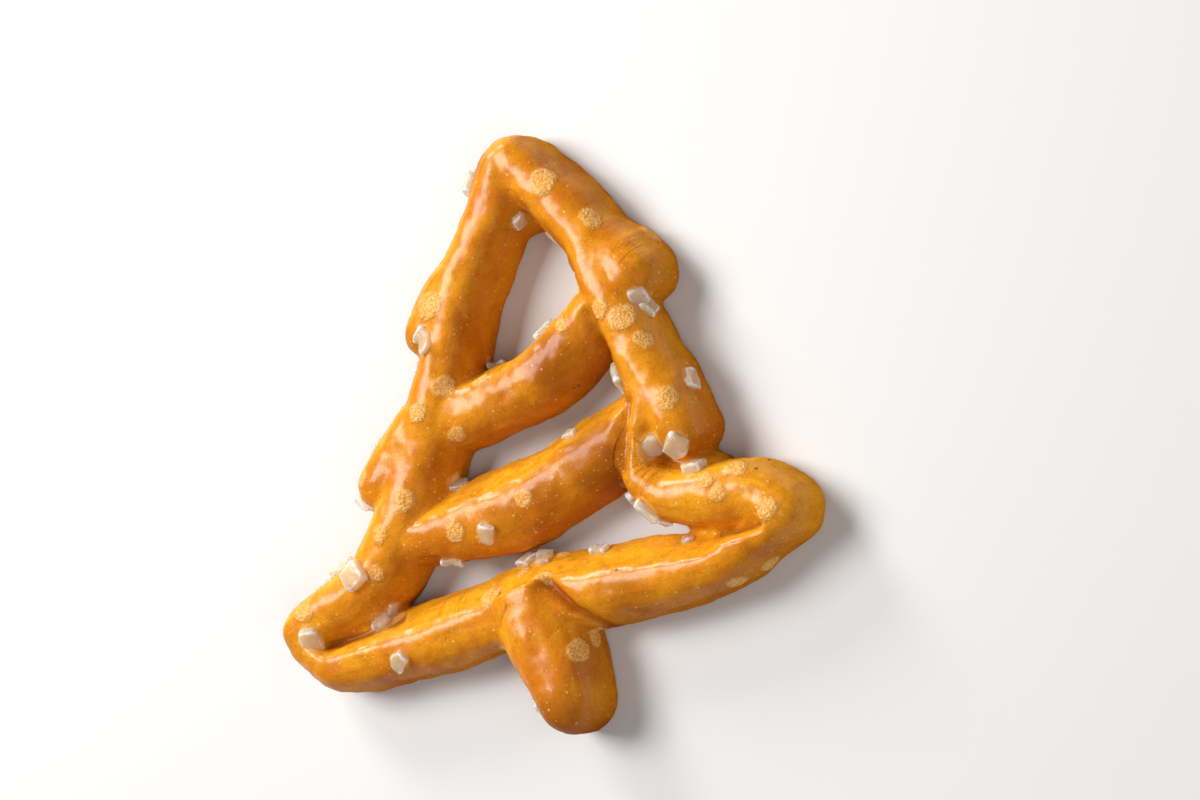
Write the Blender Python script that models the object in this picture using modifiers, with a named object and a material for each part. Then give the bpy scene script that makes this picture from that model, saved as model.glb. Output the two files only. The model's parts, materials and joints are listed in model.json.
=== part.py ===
"""A hard salted pretzel in the shape of a fir tree, lying on its flat back.

X runs across the tree, Y up it from the trunk to the tip, and Z out of the face
that shows. The shape is given in millimetres and built in metres.
"""
import math
import random

import bmesh
import bpy
from mathutils import Matrix, Vector, noise
from mathutils.bvhtree import BVHTree

MM = 0.001

# Share of the width that rests on the back, and height of the widest place
BACK_SHARE = 0.60
BULGE_HEIGHT = 0.36
# Height of the edges between the shown face and the walls, as a share of the depth
EDGE_HEIGHT = 0.92
# Roundness of the other sides: 2 is an ellipse, more is squarer
ROUNDNESS = 2.4
# Angles above the widest place at which a round side gets its points
ROUND_ANGLES = tuple(math.radians(degrees) for degrees in (26, 50, 70))
# A point low on each wall: share of the half width, and height as a share of the depth
LOW_WALL = (0.93, 0.13)
# A point on the slope to a crisp edge: share of the shelf, and height in the same way
SLOPE = (0.45, 0.66)
# A point between a crisp edge and the crest: share of the way, and height
CREST = (0.5, 0.985)
# Longest step along a strand, and steps in the round cap of a free end
STEP = 0.8
CAP_STEPS = 5
CAP_END = math.radians(86)
# Share of the height that the cap of a free end loses at its very end
CAP_DROP = 0.6
# Fineness of the fused dough and of the faces that are kept
VOXEL = 0.34
KEPT_FACES = 5600
# Softening of the fused dough: share of each step, and number of steps
SOFTENING = 0.5
SOFT_STEPS = 8
# Points closer than this are one
MERGE = 0.004
# Unevenness of the surface: size of the lumps and how far they stand out
UNEVENNESS = ((5.5, 0.34), (1.7, 0.10))
# Creases fade out below twice this height, and end at it
CREASE_FLOOR = 2.2
# Height above the lowest place at which the back is cut flat
BACK_CUT = 0.35

# Each strand of dough: its depth, how far a crisp edge lies in from its left and
# its right wall (0 where the side is round), whether its two ends are free, and the
# places (x, y, width) that it runs through.
STRANDS = {
    "left side": (6.2, 0, 0, (True, True), (
        (-1.6, 19.6, 5.2), (-4.2, 15.2, 4.6), (-7.0, 10.4, 4.8), (-8.7, 6.2, 4.8),
        (-10.5, 1.6, 5.2), (-12.7, -2.6, 5.8), (-14.6, -6.4, 5.6), (-17.3, -10.0, 5.6),
        (-21.4, -12.2, 5.0), (-24.4, -13.8, 4.6),
    )),
    "right side": (6.2, 0, 0, (True, False), (
        (-0.6, 20.2, 5.0), (2.0, 17.5, 4.9), (5.0, 13.7, 4.9), (6.4, 9.6, 4.4),
        (7.9, 5.6, 4.6), (9.1, 1.8, 4.4), (8.2, -1.8, 3.8),
    )),
    "tip web": (3.2, 0, 0, (False, False), (
        (-3.4, 15.8, 2.6), (0.0, 16.8, 3.4), (3.4, 15.4, 2.6),
    )),
    "upper left branch": (6.0, 0, 0, (False, True), (
        (-5.2, 13.2, 4.6), (-8.5, 10.2, 5.4), (-10.1, 8.4, 4.8),
    )),
    "lower left branch": (6.0, 0, 0, (False, True), (
        (-10.8, 1.8, 5.0), (-13.8, -1.2, 5.4), (-16.0, -2.9, 4.8),
    )),
    "upper right branch": (6.0, 0, 0, (False, True), (
        (4.8, 13.2, 5.6), (7.2, 11.4, 5.6), (8.7, 10.2, 5.0),
    )),
    "lower right branch": (6.3, 0, 0, (False, True), (
        (8.2, 4.4, 4.6), (9.9, 0.8, 5.2), (11.2, -1.9, 4.8),
    )),
    "upper bar": (5.8, 1.0, 0, (False, False), (
        (-9.4, 1.4, 5.4), (-5.6, 2.1, 5.4), (-1.4, 3.1, 5.4), (2.8, 5.7, 5.2),
        (6.2, 8.6, 4.4),
    )),
    "lower bar": (5.8, 2.1, 0, (False, False), (
        (-15.2, -7.5, 5.0), (-9.4, -6.8, 6.3), (-3.0, -5.7, 6.8), (3.0, -3.3, 6.6),
        (8.2, -0.4, 5.4),
    )),
    "foot": (6.0, 2.1, 0, (True, True), (
        (-24.2, -15.0, 4.8), (-21.4, -16.3, 5.4), (-14.6, -15.7, 6.0), (-8.0, -14.6, 6.2),
        (-1.0, -13.2, 6.4), (6.0, -12.9, 6.0), (13.0, -12.2, 5.2), (16.6, -10.6, 4.6),
        (18.8, -9.4, 4.6),
    )),
    "curl": (6.0, 0, 0, (False, True), (
        (9.2, 1.6, 3.6), (8.0, -1.8, 3.8), (7.6, -4.8, 3.8), (9.4, -6.8, 4.4),
        (12.8, -7.6, 5.0), (16.6, -7.6, 5.2), (18.8, -8.8, 4.8),
    )),
    "notch web": (3.4, 0, 0, (False, False), (
        (8.4, -3.4, 2.4), (11.0, -4.6, 2.4), (13.4, -5.6, 2.2),
    )),
    "trunk": (6.8, 0, 0, (False, True), (
        (-3.4, -12.6, 6.4), (-2.4, -16.4, 7.0), (-1.2, -19.4, 6.4), (-0.7, -21.2, 5.4),
    )),
}

# Lines where two strands are pressed together, pushed down to keep a crease: their
# depth, their half width and the places (x, y) that they run through.
CREASES = (
    (0.9, 0.55, ((-22.2, -15.2), (-19.2, -14.7), (-15.6, -13.8))),
    (1.0, 0.50, ((-0.8, -12.4), (1.4, -14.5), (3.8, -16.4))),
    (0.6, 0.50, ((5.4, 7.2), (5.8, 5.0), (6.2, 3.0))),
    (0.6, 0.50, ((8.0, 0.2), (7.4, -2.2), (6.9, -4.8))),
    (0.8, 0.40, ((13.6, -10.4), (15.8, -10.5), (17.6, -10.2))),
)

# Salt grains, by strand: how far along it (0 to 1, and past that on a rounded end),
# how far round it from the crest (0 is the crest, 1 the left wall, -1 the right wall)
# and the length of the grain.
SALT = {
    "left side": ((0.074, 0.71, 1.2), (0.640, 0.80, 1.5), (0.685, -0.79, 1.6),
                  (0.817, -0.07, 2.1), (0.850, 0.85, 1.6), (0.981, 0.24, 1.8)),
    "right side": ((0.630, 0.50, 1.5), (1.036, 0.36, 1.8)),
    "upper left branch": ((0.983, 0.20, 1.5),),
    "lower right branch": ((-0.260, 0.66, 1.3), (0.634, 0.75, 1.3), (1.218, -0.08, 1.8)),
    "upper bar": ((0.675, 0.66, 1.5),),
    "lower bar": ((-0.071, -0.88, 1.2), (0.190, -0.71, 1.4), (0.236, 0.96, 1.3),
                  (0.745, 0.70, 1.2)),
    "foot": ((0.216, -0.24, 1.6), (0.485, 0.95, 1.5), (0.512, 0.90, 1.5), (0.619, 0.89, 1.3),
             (0.791, 0.73, 1.0)),
    "curl": ((0.466, -0.35, 1.6), (0.506, -0.64, 1.3)),
    "notch web": ((0.832, -0.04, 1.7),),
}

# Pale raised spots where a grain baked in, given in the same way, with their width
SPOTS = {
    "left side": ((-0.018, 0.60, 2.3), (0.412, 0.25, 2.0),
                  (0.573, 0.96, 1.2), (0.783, 0.17, 1.5)),
    "right side": ((0.618, -0.09, 1.7), (0.678, 0.16, 2.3), (0.762, 0.30, 1.7)),
    "upper left branch": ((0.604, 0.00, 2.6),),
    "lower left branch": ((-0.083, 0.59, 1.7), (0.758, 0.49, 1.8), (1.040, -0.22, 1.5),
                          (1.198, 0.50, 1.6)),
    "upper right branch": ((0.077, 0.39, 1.9), (0.753, 1.09, 1.8)),
    "upper bar": ((-0.051, 0.12, 1.8), (0.258, 0.36, 1.6), (0.740, 0.72, 1.3),
                  (0.792, 0.17, 1.4)),
    "lower bar": ((0.271, -0.18, 1.8), (0.537, -0.08, 1.6)),
    "foot": ((-0.016, 0.41, 1.9), (0.429, 0.29, 2.3), (0.531, 0.31, 1.5), (0.546, 1.02, 1.2),
             (0.861, -0.64, 1.6), (0.909, -0.91, 1.8), (0.986, 0.66, 2.0)),
    "curl": ((0.033, 0.43, 2.0), (0.766, -0.01, 1.3), (0.993, -0.06, 1.9)),
    "notch web": ((1.086, -0.09, 1.7),),
    "trunk": ((-0.128, -0.01, 1.3), (0.599, 0.97, 1.7), (0.686, 0.57, 2.1)),
}

# More salt and spots are scattered over the walls that are turned away from this
# direction and aren't too close to the back: how many, their sizes and their gap
SEEN_FROM = Vector((0.50, -0.10, 0.86))
FAR_SALT = 16
FAR_SPOTS = 8
FAR_SIZES = (1.3, 2.1)
FAR_GAP = 2.6
# They lie at these shares along a strand and this far round it, face away at least
# so much, and stand at least so high
FAR_SHARES = (0.04, 0.96)
FAR_TURNS = (0.55, 1.15)
FAR_FACING = -0.15
FAR_LOWEST = 1.6
SEED = 13
# A grain is a block with cut corners: its half length, breadth and height against its
# size, how much these vary, the cut at the corners, how uneven the block is and how
# far its middle stands above the crust
GRAIN_SHAPE = (0.54, 0.45, 0.31)
GRAIN_RANGE = (0.85, 1.15)
GRAIN_CORNER = 0.6
GRAIN_ROUGHNESS = 0.12
GRAIN_LIFT = 0.08
# Breadth and height of a spot against its width, how far it stands proud, and the
# faces round it and from its foot to its top
SPOT_BREADTH = 0.85
SPOT_THICKNESS = 0.22
SPOT_PROUD = 0.14
SPOT_FACES = (8, 5)

# Middle of the pretzel, which becomes the origin
MIDDLE = (-2.8, -0.85)

CRUST_COLOUR = (0.52, 0.21, 0.035, 1.0)
CRUST_ROUGHNESS = 0.35


def smooth_route(places, step=STEP):
    """Places spaced along a Catmull-Rom curve through the given (x, y, width)."""
    first = [2 * a - b for a, b in zip(places[0], places[1])]
    last = [2 * a - b for a, b in zip(places[-1], places[-2])]
    padded = [first, *places, last]
    route = []
    for p0, p1, p2, p3 in zip(padded, padded[1:], padded[2:], padded[3:]):
        count = max(2, math.ceil(math.dist(p1[:2], p2[:2]) / step))
        for k in range(count):
            t = k / count
            route.append([
                0.5 * (2 * b + (c - a) * t + (2 * a - 5 * b + 4 * c - d) * t**2
                       + (3 * b - a - 3 * c + d) * t**3)
                for a, b, c, d in zip(p0, p1, p2, p3)
            ])
    route.append(list(places[-1]))
    return route


def side_outline(half, depth, shelf):
    """One side of a strand cut across, from the back to near the crest."""
    bulge = depth * BULGE_HEIGHT
    low = [(half * BACK_SHARE, 0.0), (half * LOW_WALL[0], depth * LOW_WALL[1]), (half, bulge)]
    if shelf:
        edge = half - shelf
        return low + [(half - shelf * SLOPE[0], depth * SLOPE[1]), (edge, depth * EDGE_HEIGHT),
                      (edge * CREST[0], depth * CREST[1])]
    high = []
    for angle in ROUND_ANGLES:
        across = half * math.cos(angle) ** (2 / ROUNDNESS)
        height = bulge + (depth - bulge) * math.sin(angle) ** (2 / ROUNDNESS)
        high.append((across, height))
    return low + high


def section(width, depth, left_shelf, right_shelf, shrink=1.0):
    """Outline of a strand cut across, as (offset to the left, height) pairs."""
    left = side_outline(width / 2, depth, left_shelf)
    right = side_outline(width / 2, depth, right_shelf)
    outline = [(-u, z) for u, z in right] + [(0.0, depth)] + left[::-1]
    centre = depth * BULGE_HEIGHT
    flat = 1 - CAP_DROP * (1 - shrink)
    return [(u * shrink, centre + (z - centre) * flat) for u, z in outline]


def loft(mesh, depth, left_shelf, right_shelf, free_ends, places):
    """Add one strand to the mesh: cross sections set along its route and joined."""
    route = smooth_route(places)
    stations = []
    for k, (x, y, width) in enumerate(route):
        before = route[max(k - 1, 0)]
        after = route[min(k + 1, len(route) - 1)]
        along = Vector((after[0] - before[0], after[1] - before[1])).normalized()
        stations.append((Vector((x, y)), along, width, 1.0))
    for free, end, sign in ((free_ends[0], 0, -1), (free_ends[1], -1, 1)):
        if not free:
            continue
        place, along, width, _ = stations[end]
        caps = []
        for k in range(1, CAP_STEPS + 1):
            angle = k / CAP_STEPS * CAP_END
            reach = sign * width / 2 * math.sin(angle)
            caps.append((place + along * reach, along, width, math.cos(angle)))
        stations = stations + caps if sign > 0 else caps[::-1] + stations
    rings = []
    for place, along, width, shrink in stations:
        across = Vector((-along.y, along.x))
        ring = []
        for u, z in section(width, depth, left_shelf, right_shelf, shrink):
            spot = place + across * u
            ring.append(mesh.verts.new((spot.x * MM, spot.y * MM, z * MM)))
        rings.append(ring)
    size = len(rings[0])
    for ring, following in zip(rings, rings[1:]):
        for k in range(size):
            n = (k + 1) % size
            mesh.faces.new((ring[k], following[k], following[n], ring[n]))
    mesh.faces.new(rings[0])
    mesh.faces.new(rings[-1][::-1])


def evaluated_mesh(obj):
    """Mesh of an object with its modifiers applied."""
    graph = bpy.context.evaluated_depsgraph_get()
    return bpy.data.meshes.new_from_object(obj.evaluated_get(graph))


def apply_modifiers(obj):
    """Keep what the modifiers make and take them off."""
    made = evaluated_mesh(obj)
    obj.modifiers.clear()
    spent = obj.data
    obj.data = made
    bpy.data.meshes.remove(spent)


def fused_dough(collection):
    """All strands in one object, fused and rounded where they meet."""
    mesh = bmesh.new()
    for strand in STRANDS.values():
        loft(mesh, *strand)
    bmesh.ops.recalc_face_normals(mesh, faces=mesh.faces)
    data = bpy.data.meshes.new("pretzel")
    mesh.to_mesh(data)
    mesh.free()
    dough = bpy.data.objects.new("pretzel", data)
    collection.objects.link(dough)
    fuse = dough.modifiers.new("fuse", "REMESH")
    fuse.mode = "VOXEL"
    fuse.voxel_size = VOXEL * MM
    fuse.adaptivity = 0.0
    soften = dough.modifiers.new("soften", "SMOOTH")
    soften.factor = SOFTENING
    soften.iterations = SOFT_STEPS
    apply_modifiers(dough)
    return dough


def distance_to_line(x, y, places):
    """Shortest distance from (x, y) to a line through the places."""
    best = math.inf
    for (x0, y0), (x1, y1) in zip(places, places[1:]):
        run = (x1 - x0, y1 - y0)
        t = ((x - x0) * run[0] + (y - y0) * run[1]) / (run[0] ** 2 + run[1] ** 2)
        t = min(1.0, max(0.0, t))
        best = min(best, math.hypot(x - x0 - t * run[0], y - y0 - t * run[1]))
    return best


def shape_surface(dough):
    """Press in the creases and make the surface uneven, as risen dough is."""
    data = dough.data
    normals = [vertex.normal.copy() for vertex in data.vertices]
    for vertex, normal in zip(data.vertices, normals):
        x, y, z = vertex.co / MM
        swell = 0.0
        for size, amount in UNEVENNESS:
            swell += amount * noise.noise(Vector((x, y, z)) / size)
        sink = 0.0
        for depth, half_width, places in CREASES:
            away = distance_to_line(x, y, places)
            sink = max(sink, depth * math.exp(-((away / half_width) ** 2)))
        vertex.co += normal * swell * MM
        vertex.co.z -= sink * max(0.0, min(1.0, z / CREASE_FLOOR - 1)) * MM


def thin_faces(dough, kept):
    """Keep about so many triangles, most where the surface bends most."""
    data = dough.data
    triangles = sum(len(face.vertices) - 2 for face in data.polygons)
    thin = dough.modifiers.new("thin", "DECIMATE")
    thin.ratio = kept / triangles
    apply_modifiers(dough)


def cut_back_flat(dough):
    """Cut the back off flat and move the cut to height zero."""
    mesh = bmesh.new()
    mesh.from_mesh(dough.data)
    everything = mesh.verts[:] + mesh.edges[:] + mesh.faces[:]
    level = Vector((0.0, 0.0, BACK_CUT * MM))
    cut = bmesh.ops.bisect_plane(
        mesh, geom=everything, dist=1e-7, plane_co=level, plane_no=(0, 0, 1), clear_inner=True
    )
    rim = [item for item in cut["geom_cut"] if isinstance(item, bmesh.types.BMEdge)]
    bmesh.ops.triangle_fill(mesh, edges=rim, use_beauty=True)
    bmesh.ops.translate(mesh, verts=mesh.verts, vec=-level)
    bmesh.ops.recalc_face_normals(mesh, faces=mesh.faces)
    mesh.to_mesh(dough.data)
    mesh.free()


def place_on_strand(surface, name, share, turn):
    """Point and normal of the surface, share of the way along a strand and round it."""
    depth, _, _, _, places = STRANDS[name]
    route = smooth_route(places)
    steps = share * (len(route) - 1)
    k = min(len(route) - 2, max(1, round(steps)))
    along = Vector((route[k + 1][0] - route[k - 1][0], route[k + 1][1] - route[k - 1][1], 0))
    along.normalize()
    across = Vector((-along.y, along.x, 0))
    angle = turn * math.pi / 2
    start = Vector((route[k][0], route[k][1], depth * BULGE_HEIGHT))
    start = (start + along * (steps - k) * STEP) * MM
    outward = across * math.sin(angle) + Vector((0, 0, math.cos(angle)))
    spot, normal, _, _ = surface.ray_cast(start, outward)
    return spot, normal


def far_places(surface, count, taken, chance):
    """Evenly scattered places on the walls that the shown side doesn't show."""
    names = [name for name in STRANDS if not name.endswith("web")]
    found = []
    while len(found) < count:
        name = chance.choice(names)
        turn = chance.uniform(*FAR_TURNS) * chance.choice((-1, 1))
        share = chance.uniform(*FAR_SHARES)
        size = chance.uniform(*FAR_SIZES)
        spot, normal = place_on_strand(surface, name, share, turn)
        near = any((spot - other).length < FAR_GAP * MM for other in taken)
        if near or normal.dot(SEEN_FROM) > FAR_FACING or spot.z < FAR_LOWEST * MM:
            continue
        taken.append(spot)
        found.append((spot, normal, size))
    return found


def all_places(surface):
    """Where the grains and the spots sit: (point, normal, size) for each."""
    chance = random.Random(SEED)
    salt = [(*place_on_strand(surface, name, share, turn), size)
            for name, grains in SALT.items() for share, turn, size in grains]
    spots = [(*place_on_strand(surface, name, share, turn), size)
             for name, marks in SPOTS.items() for share, turn, size in marks]
    taken = [place[0] for place in salt + spots]
    salt += far_places(surface, FAR_SALT, taken, chance)
    spots += far_places(surface, FAR_SPOTS, taken, chance)
    return salt, spots


def add_lump(collection, name, spot, normal, spin, scale, roughness, chance):
    """A small closed lump, its own X to Z scaled and its Z along the normal."""
    mesh = bmesh.new()
    if name == "grain":
        bmesh.ops.create_cube(mesh, size=2.0)
        bmesh.ops.bevel(mesh, geom=mesh.verts[:], offset=GRAIN_CORNER, affect="VERTICES")
    else:
        around, upward = SPOT_FACES
        bmesh.ops.create_uvsphere(mesh, u_segments=around, v_segments=upward, radius=1.0)
    for vertex in mesh.verts:
        vertex.co *= 1 + roughness * chance.uniform(-1, 1)
    turned = normal.to_track_quat("Z", "Y").to_matrix().to_4x4()
    spun = Matrix.Rotation(spin, 4, "Z")
    sized = Matrix.Diagonal((*scale, 1.0))
    mesh.transform(Matrix.Translation(spot) @ turned @ spun @ sized)
    data = bpy.data.meshes.new(name)
    mesh.to_mesh(data)
    mesh.free()
    lump = bpy.data.objects.new(name, data)
    collection.objects.link(lump)


def fuse_salt(dough, parent):
    """Join the grains and the raised spots to the dough with one union."""
    surface = BVHTree.FromObject(dough, bpy.context.evaluated_depsgraph_get())
    lie = random.Random(SEED + 1)
    chance = random.Random(SEED + 2)
    toppings = bpy.data.collections.new("toppings")
    parent.children.link(toppings)
    salt, spots = all_places(surface)
    for spot, normal, size in salt:
        scale = [size * share * lie.uniform(*GRAIN_RANGE) * MM for share in GRAIN_SHAPE]
        spin = lie.uniform(0, math.tau)
        middle = spot + normal * GRAIN_LIFT * size * MM
        add_lump(toppings, "grain", middle, normal, spin, scale, GRAIN_ROUGHNESS, chance)
    for spot, normal, width in spots:
        thick = width * SPOT_THICKNESS
        scale = (width / 2 * MM, width / 2 * SPOT_BREADTH * MM, thick * MM)
        spin = lie.uniform(0, math.tau)
        sunk = spot - normal * (thick - SPOT_PROUD) * MM
        add_lump(toppings, "spot", sunk, normal, spin, scale, 0.0, chance)
    union = dough.modifiers.new("fuse salt", "BOOLEAN")
    union.operation = "UNION"
    union.operand_type = "COLLECTION"
    union.collection = toppings
    union.solver = "EXACT"
    apply_modifiers(dough)
    for lump in list(toppings.objects):
        bpy.data.objects.remove(lump)
    bpy.data.collections.remove(toppings)


def crust_material():
    """Glossy golden brown crust."""
    material = bpy.data.materials.new("crust")
    material.use_nodes = True
    shader = material.node_tree.nodes["Principled BSDF"]
    shader.inputs["Base Color"].default_value = CRUST_COLOUR
    shader.inputs["Roughness"].default_value = CRUST_ROUGHNESS
    shader.inputs["Metallic"].default_value = 0.0
    return material


def keep_one_body(dough):
    """Drop loose scraps, merge what coincides and leave triangles only."""
    mesh = bmesh.new()
    mesh.from_mesh(dough.data)
    bmesh.ops.remove_doubles(mesh, verts=mesh.verts, dist=MERGE * MM)
    bmesh.ops.dissolve_degenerate(mesh, dist=MERGE * MM, edges=mesh.edges)
    bmesh.ops.triangulate(mesh, faces=mesh.faces)
    mesh.verts.ensure_lookup_table()
    left = set(mesh.verts)
    bodies = []
    while left:
        front = [left.pop()]
        body = set(front)
        while front:
            for edge in front.pop().link_edges:
                for vertex in edge.verts:
                    if vertex in left:
                        left.discard(vertex)
                        body.add(vertex)
                        front.append(vertex)
        bodies.append(body)
    bodies.sort(key=len)
    scraps = [vertex for body in bodies[:-1] for vertex in body]
    bmesh.ops.delete(mesh, geom=scraps, context="VERTS")
    mesh.to_mesh(dough.data)
    mesh.free()


def main():
    for old in list(bpy.data.objects):
        bpy.data.objects.remove(old)
    collection = bpy.data.collections.new("tree pretzel")
    bpy.context.scene.collection.children.link(collection)
    dough = fused_dough(collection)
    shape_surface(dough)
    thin_faces(dough, KEPT_FACES)
    cut_back_flat(dough)
    fuse_salt(dough, collection)
    keep_one_body(dough)
    dough.data.transform(Matrix.Translation((-MIDDLE[0] * MM, -MIDDLE[1] * MM, 0.0)))
    dough.data.shade_smooth()
    dough.data.materials.clear()
    dough.data.materials.append(crust_material())
    print("triangles:", len(dough.data.polygons))


main()
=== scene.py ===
# %% [markdown]
# # A crisp salted pretzel in the shape of a fir tree
# This lesson dresses one small baked pretzel. It has a glossy golden brown crust, coarse
# salt on it, and pale raised spots where a grain of salt baked in and fell out. The solid
# part is loaded first, because all that is made here has to sit where that part says.

import json
import math
import random

import bmesh
import bpy
import numpy as np
from mathutils import Matrix, Vector, noise
from mathutils.bvhtree import BVHTree

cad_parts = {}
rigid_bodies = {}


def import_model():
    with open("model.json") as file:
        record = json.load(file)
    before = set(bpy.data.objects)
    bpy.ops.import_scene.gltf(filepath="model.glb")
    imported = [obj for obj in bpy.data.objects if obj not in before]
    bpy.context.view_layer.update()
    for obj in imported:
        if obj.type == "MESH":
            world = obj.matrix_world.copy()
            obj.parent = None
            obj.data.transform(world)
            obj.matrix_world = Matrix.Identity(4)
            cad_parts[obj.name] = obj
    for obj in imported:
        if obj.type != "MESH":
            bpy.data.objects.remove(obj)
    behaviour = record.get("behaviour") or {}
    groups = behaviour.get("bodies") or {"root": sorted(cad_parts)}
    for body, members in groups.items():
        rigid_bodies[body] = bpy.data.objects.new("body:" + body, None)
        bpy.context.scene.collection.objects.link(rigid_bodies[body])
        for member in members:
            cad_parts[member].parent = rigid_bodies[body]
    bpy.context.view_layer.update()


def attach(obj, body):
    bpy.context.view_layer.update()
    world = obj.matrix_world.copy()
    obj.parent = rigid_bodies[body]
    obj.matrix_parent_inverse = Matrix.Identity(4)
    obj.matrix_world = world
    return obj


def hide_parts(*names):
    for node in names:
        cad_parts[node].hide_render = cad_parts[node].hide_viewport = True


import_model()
MM = 0.001

# %% [markdown]
# ## The dough
# The real pretzel is pressed from one sheet of dough that looks like round ropes laid
# across each other: two sides, short branches, two cross bars, a foot, a curl and a
# trunk. A sculpted mesh could copy it, but then no number would say how wide a bar is.
# So each rope is a route with a width at each place, and the same few rules as in the
# solid part turn the routes into dough. Depth and places are in millimetres.

# %% The ropes of dough
# Depth, how far a crisp edge lies in from the left and the right wall, which ends are
# free, and the places (x, y, width) of the route
ROPES = {
    "left side": (6.2, 0, 0, (True, True), (
        (-1.6, 19.6, 5.2), (-4.2, 15.2, 4.6), (-7.0, 10.4, 4.8), (-8.7, 6.2, 4.8),
        (-10.5, 1.6, 5.2), (-12.7, -2.6, 5.8), (-14.6, -6.4, 5.6), (-17.3, -10.0, 5.6),
        (-21.4, -12.2, 5.0), (-24.4, -13.8, 4.6),
    )),
    "right side": (6.2, 0, 0, (True, False), (
        (-0.6, 20.2, 5.0), (2.0, 17.5, 4.9), (5.0, 13.7, 4.9), (6.4, 9.6, 4.4),
        (7.9, 5.6, 4.6), (9.1, 1.8, 4.4), (8.2, -1.8, 3.8),
    )),
    "tip web": (3.2, 0, 0, (False, False), (
        (-3.4, 15.8, 2.6), (0.0, 16.8, 3.4), (3.4, 15.4, 2.6),
    )),
    "upper left branch": (6.0, 0, 0, (False, True), (
        (-5.2, 13.2, 4.6), (-8.5, 10.2, 5.4), (-10.1, 8.4, 4.8),
    )),
    "lower left branch": (6.0, 0, 0, (False, True), (
        (-10.8, 1.8, 5.0), (-13.8, -1.2, 5.4), (-16.0, -2.9, 4.8),
    )),
    "upper right branch": (6.0, 0, 0, (False, True), (
        (4.8, 13.2, 5.6), (7.2, 11.4, 5.6), (8.7, 10.2, 5.0),
    )),
    "lower right branch": (6.3, 0, 0, (False, True), (
        (8.2, 4.4, 4.6), (9.9, 0.8, 5.2), (11.2, -1.9, 4.8),
    )),
    "upper bar": (5.8, 1.0, 0, (False, False), (
        (-9.4, 1.4, 5.4), (-5.6, 2.1, 5.4), (-1.4, 3.1, 5.4), (2.8, 5.7, 5.2),
        (6.2, 8.6, 4.4),
    )),
    "lower bar": (5.8, 2.1, 0, (False, False), (
        (-15.2, -7.5, 5.0), (-9.4, -6.8, 6.3), (-3.0, -5.7, 6.8), (3.0, -3.3, 6.6),
        (8.2, -0.4, 5.4),
    )),
    "foot": (6.0, 2.1, 0, (True, True), (
        (-24.2, -15.0, 4.8), (-21.4, -16.3, 5.4), (-14.6, -15.7, 6.0), (-8.0, -14.6, 6.2),
        (-1.0, -13.2, 6.4), (6.0, -12.9, 6.0), (13.0, -12.2, 5.2), (16.6, -10.6, 4.6),
        (18.8, -9.4, 4.6),
    )),
    "curl": (6.0, 0, 0, (False, True), (
        (9.2, 1.6, 3.6), (8.0, -1.8, 3.8), (7.6, -4.8, 3.8), (9.4, -6.8, 4.4),
        (12.8, -7.6, 5.0), (16.6, -7.6, 5.2), (18.8, -8.8, 4.8),
    )),
    "notch web": (3.4, 0, 0, (False, False), (
        (8.4, -3.4, 2.4), (11.0, -4.6, 2.4), (13.4, -5.6, 2.2),
    )),
    "trunk": (6.8, 0, 0, (False, True), (
        (-3.4, -12.6, 6.4), (-2.4, -16.4, 7.0), (-1.2, -19.4, 6.4), (-0.7, -21.2, 5.4),
    )),
}
print("ropes of dough:", len(ROPES))

# %% [markdown]
# A rope's route has to bend smoothly through its places. A Catmull-Rom curve does that
# and passes through every place, so the numbers above stay true.

# %% A smooth route
STEP = 0.8


def smooth_route(places):
    """Places spaced along a Catmull-Rom curve through the given (x, y, width)."""
    first = [2 * a - b for a, b in zip(places[0], places[1])]
    last = [2 * a - b for a, b in zip(places[-1], places[-2])]
    padded = [first, *places, last]
    route = []
    for p0, p1, p2, p3 in zip(padded, padded[1:], padded[2:], padded[3:]):
        count = max(2, math.ceil(math.dist(p1[:2], p2[:2]) / STEP))
        for k in range(count):
            t = k / count
            route.append([
                0.5 * (2 * b + (c - a) * t + (2 * a - 5 * b + 4 * c - d) * t**2
                       + (3 * b - a - 3 * c + d) * t**3)
                for a, b, c, d in zip(p0, p1, p2, p3)
            ])
    route.append(list(places[-1]))
    return route


ROUTES = {name: smooth_route(rope[-1]) for name, rope in ROPES.items()}
print("places on the foot's route:", len(ROUTES["foot"]))

# %% [markdown]
# Cut across, a rope is flat where it lay on the oven belt, widest a third of the way up
# and round on top. The bars and the foot also have a crisp edge on their upper side,
# where the cutter pressed the dough down.

# %% A rope cut across
BACK_SHARE = 0.60
BULGE_HEIGHT = 0.36
EDGE_HEIGHT = 0.92
ROUNDNESS = 2.4
ROUND_ANGLES = tuple(math.radians(degrees) for degrees in (26, 50, 70))
LOW_WALL = (0.93, 0.13)
SLOPE = (0.45, 0.66)
CREST = (0.5, 0.985)
CAP_STEPS = 5
CAP_END = math.radians(86)
CAP_DROP = 0.6


def side_outline(half, depth, shelf):
    """One side of a rope cut across, from the back to near the crest."""
    bulge = depth * BULGE_HEIGHT
    low = [(half * BACK_SHARE, 0.0), (half * LOW_WALL[0], depth * LOW_WALL[1]), (half, bulge)]
    if shelf:
        edge = half - shelf
        return low + [(half - shelf * SLOPE[0], depth * SLOPE[1]), (edge, depth * EDGE_HEIGHT),
                      (edge * CREST[0], depth * CREST[1])]
    high = []
    for angle in ROUND_ANGLES:
        across = half * math.cos(angle) ** (2 / ROUNDNESS)
        height = bulge + (depth - bulge) * math.sin(angle) ** (2 / ROUNDNESS)
        high.append((across, height))
    return low + high


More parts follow.
